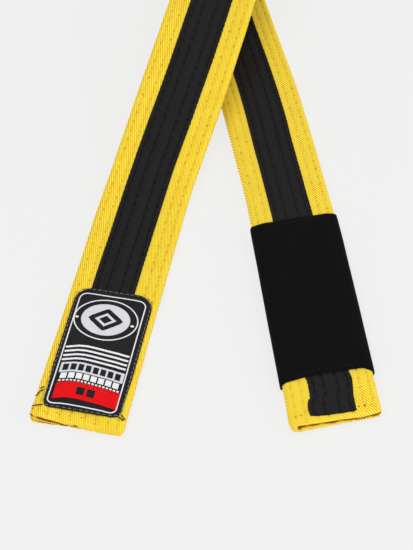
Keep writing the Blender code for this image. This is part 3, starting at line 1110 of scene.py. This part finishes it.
def build_label():
    b = np.unique(np.concatenate([np.linspace(0, 4, 11), np.arange(4.6, 60, 0.65), np.linspace(60, 71, 20)]).round(3)) * MM
    s = np.linspace(-1, 1, 47)
    bb, vv = b[:, None] + 0 * s[None], label_half(b)[:, None] * s[None]
    shell = Shell()
    top = on_label(bb, vv, 0.0)
    bottom = top.copy()
    bottom[..., 2] += 0.38 * MM
    slab(shell, top, bottom)
    settle(shell.build("label", (LABEL_BLACK,)), "label_weave", "woven_label")

    stitches = Shell()
    path = rounded_path(0.7 * MM, LABEL_LENGTH - 0.7 * MM, LABEL_HALF - 0.75 * MM, 3 * MM, 4.6 * MM, 0.5 * MM)
    steps = np.linalg.norm(np.roll(path, -1, 0) - path, axis=1)
    at = np.concatenate([[0], np.cumsum(steps)])
    total = at[-1]
    for k in range(int(total / (2.6 * MM))):
        ends = []
        for d in (k * 2.6 * MM, k * 2.6 * MM + 1.9 * MM):
            ends.append([np.interp(d % total, at, np.append(path[:, c], path[0, c])) for c in (0, 1)])
        p, q = ends
        height = float(label_base(np.array(p[0]), np.array(p[1]))) + 0.08 * MM
        u0, u1 = TOTAL - LABEL_START - p[0], TOTAL - LABEL_START - q[0]
        sides = (p[1] + LABEL_SHIFT, q[1] + LABEL_SHIFT)
        add_thread(stitches, u0, u1, *sides, height, 1, 0, 0.22 * MM, 0.2 * MM)
    loose = Shell()
    add_loose_end(loose, [(8.6, -18.2, 0.5), (7.6, -19.6, 0.35), (5.4, -20.3, 0.25), (4.8, -20.9, 0.2)])
    add_loose_end(loose, [(10.4, -18.3, 0.5), (9.6, -19.3, 0.4), (9.0, -19.6, 0.35)])
    add_loose_end(loose, [(0.6, -16.4, 0.45), (0.2, -18.2, 0.3), (-0.6, -19.9, 0.25), (-1.6, -20.9, 0.1)])
    add_loose_end(loose, [(0.8, 17.4, 0.45), (0.3, 18.7, 0.3), (-0.9, 20.4, 0.2)])
    add_loose_end(loose, [(2.2, 18.6, 0.4), (0.9, 19.8, 0.25), (-0.4, 20.9, 0.1)])
    settle(stitches.build("label_stitches", (LABEL_THREAD_HIGHLIT,)), "label_weave")
    settle(loose.build("loose_thread_ends", (BLACK_THREAD,)), "label_weave")

    white, thick = Shell(), 0.13 * MM
    lift = 0.015 * MM
    ring = np.array((53.2, -0.95)) * MM
    frame_line = rounded_path(1.8 * MM, 67.4 * MM, 15.6 * MM, 2.8 * MM, 3.6 * MM)
    frame_line[:, 0] += np.where(frame_line[:, 0] < 3 * MM, arch(1.6 * MM, frame_line[:, 1]), 0)
    frame_line[:, 1] -= 0.35 * MM
    ribbon(white, frame_line, 0.62 * MM, lift, thick, True)
    ribbon(white, ellipse(*ring, 11.75 * MM, 14.8 * MM), 0.65 * MM, lift, thick, True)
    v = np.linspace(-15.2, 14.4, 40) * MM
    for level in (26.8, 29.2, 31.7, 34.2):
        ribbon(white, np.stack([level * MM + arch(level * MM, v), v], -1), 1.15 * MM, lift, thick, False)
    for side in (-1, 1):
        dot = ring + ((-1.0 - 0.33 * side) * MM, (side * 13.1 - 0.4) * MM)
        star(white, dot, ellipse(*dot, 0.6 * MM, 0.85 * MM, 16), lift, thick, rings=2)
    for k in range(8):
        add_block(white, 15.2, 18.4, -13.6 + 3.46 * k, -13.6 + 3.46 * k + 2.75, lift, thick)
    for k in range(17):
        add_block(white, 13.6, 14.5, -13.8 + 1.68 * k, -13.8 + 1.68 * k + 1.05, lift, thick * 0.6)
    settle(white.build("label_white_lines", (LABEL_WHITE,)), "label_weave")

    pale = Shell()
    disc = ring + (0, -0.1 * MM)
    star(pale, disc, ellipse(*disc, 9.3 * MM, 11.4 * MM), lift, thick)
    b2, v2 = np.linspace(18.9, 24.6, 8)[:, None] * MM, np.linspace(-14.7, 14.6, 40)[None] * MM
    box = b2 + arch(b2, v2) - 0.02 * v2
    slab(pale, on_label(box, v2 + 0 * b2, lift + thick), on_label(box, v2 + 0 * b2, lift))
    settle(pale.build("label_pale_fields", (LABEL_GREY,)), "label_weave")

    mark = Shell()
    above = lift + thick + 0.01 * MM
    diamond = np.array([(6.6, 0), (0, 8.4), (-6.6, 0), (0, -8.4)]) * MM

    def diamond_path(scale, n=9):
        ahead = np.roll(diamond, -1, 0)
        t = np.arange(n)[None, :, None] / n
        return ((diamond[:, None] * (1 - t) + ahead[:, None] * t) * scale).reshape(-1, 2) + disc

    ribbon(mark, diamond_path(0.83), 2.3 * MM, above, 0.08 * MM, True)
    star(mark, disc, diamond_path(0.36), above, 0.08 * MM, rings=3)
    for k in range(8):
        add_block(mark, 19.9, 23.5, -13.6 + 3.46 * k, -13.6 + 3.46 * k + 2.5, above, 0.08 * MM)
    settle(mark.build("label_marks", (LABEL_BLACK,)), "label_weave")

    tab = Shell()
    bb = TAB_START + np.linspace(0, 1, 15)[:, None] * TAB_LENGTH
    vv = np.linspace(-TAB_HALF, TAB_HALF, 45)[None, :] + 0.5 * MM
    puff = 0.12 * MM * np.sin(np.pi * (bb - TAB_START) / TAB_LENGTH) + 0.05 * MM
    bb = bb + arch(TAB_START + 0 * vv, vv)
    slab(tab, on_label(bb, vv + 0 * bb, 0.38 * MM + puff), on_label(bb, vv + 0 * bb, 0.05 * MM))
    settle(tab.build("size_tab_tape", (RED,)), "red_tab_tape", "size_tab")

    seams = Shell()
    for row in (1.5, TAB_LENGTH / MM - 1.3):
        for k in range(11):
            v0 = (-14.6 + 2.7 * k) * MM
            b0 = TAB_START + row * MM + float(arch(TAB_START, v0))
            height = float(label_base(np.array(b0), np.array(v0))) + 0.47 * MM
            u = TOTAL - LABEL_START - b0
            v0 += LABEL_SHIFT
            add_thread(seams, u, u + 0.03 * MM, v0, v0 + 2.0 * MM, height, 1, 0, 0.14 * MM, 0.1 * MM)
    settle(seams.build("size_tab_seams", (RED_THREAD,)), "red_tab_tape")

    blocks = Shell()
    for v0, v1 in ((-4.3, -0.7), (0.5, 4.1)):
        add_block(blocks, 6.2, 10.4, v0, v1, 0.53 * MM, 0.09 * MM)
    settle(blocks.build("size_tab_blocks", (LABEL_BLACK,)), "red_tab_tape")


build_label()

# ---------------------------------------------------------------- floor, light and camera


def build_stage():
    floor = bpy.data.meshes.new("floor")
    size, z = 4.0, -0.35 * MM
    floor.from_pydata([(-size, -size, z), (size, -size, z), (size, size, z), (-size, size, z)], [], [(0, 1, 2, 3)])
    obj = bpy.data.objects.new("floor", floor)
    bpy.context.scene.collection.objects.link(obj)
    g = Graph("pale_floor", 1.0, 0.0)
    g.feed(g.shader.inputs["Base Color"], linear(241, 241, 241))
    glow = g.tree.nodes.new("ShaderNodeEmission")
    glow.inputs[0].default_value = linear(241, 241, 241)
    both = g.tree.nodes.new("ShaderNodeMixShader")
    both.inputs[0].default_value = 0.85
    g.tree.links.new(g.shader.outputs[0], both.inputs[1])
    g.tree.links.new(glow.outputs[0], both.inputs[2])
    g.tree.links.new(both.outputs[0], g.tree.nodes["Material Output"].inputs[0])
    floor.materials.append(g.material)

    world = bpy.data.worlds.new("studio")
    world.use_nodes = True
    world.node_tree.nodes["Background"].inputs[0].default_value = (1, 1, 1, 1)
    world.node_tree.nodes["Background"].inputs[1].default_value = 0.58
    bpy.context.scene.world = world
    for name, place_at, size, watts in (
        ("key", (-0.3, -0.75, 1.05), 0.9, 6.0),
        ("fill", (1.0, -0.5, 0.6), 0.9, 4.8),
    ):
        light = bpy.data.lights.new(name, "AREA")
        light.size, light.energy = size, watts
        lamp = bpy.data.objects.new(name, light)
        lamp.location = place_at
        lamp.rotation_euler = (Vector((0, -0.12, 0)) - lamp.location).to_track_quat("-Z", "Y").to_euler()
        bpy.context.scene.collection.objects.link(lamp)
    bpy.context.scene.view_settings.view_transform = "Standard"

    camera = bpy.data.cameras.new("camera")
    camera.sensor_width, camera.lens = 36, 124.95
    obj = bpy.data.objects.new("camera", camera)
    obj.location = (-0.01038, -0.77878, 0.6994)
    obj.rotation_euler = (math.radians(90 - 50), 0, 0)
    bpy.context.scene.collection.objects.link(obj)
    bpy.context.scene.camera = obj


build_stage()
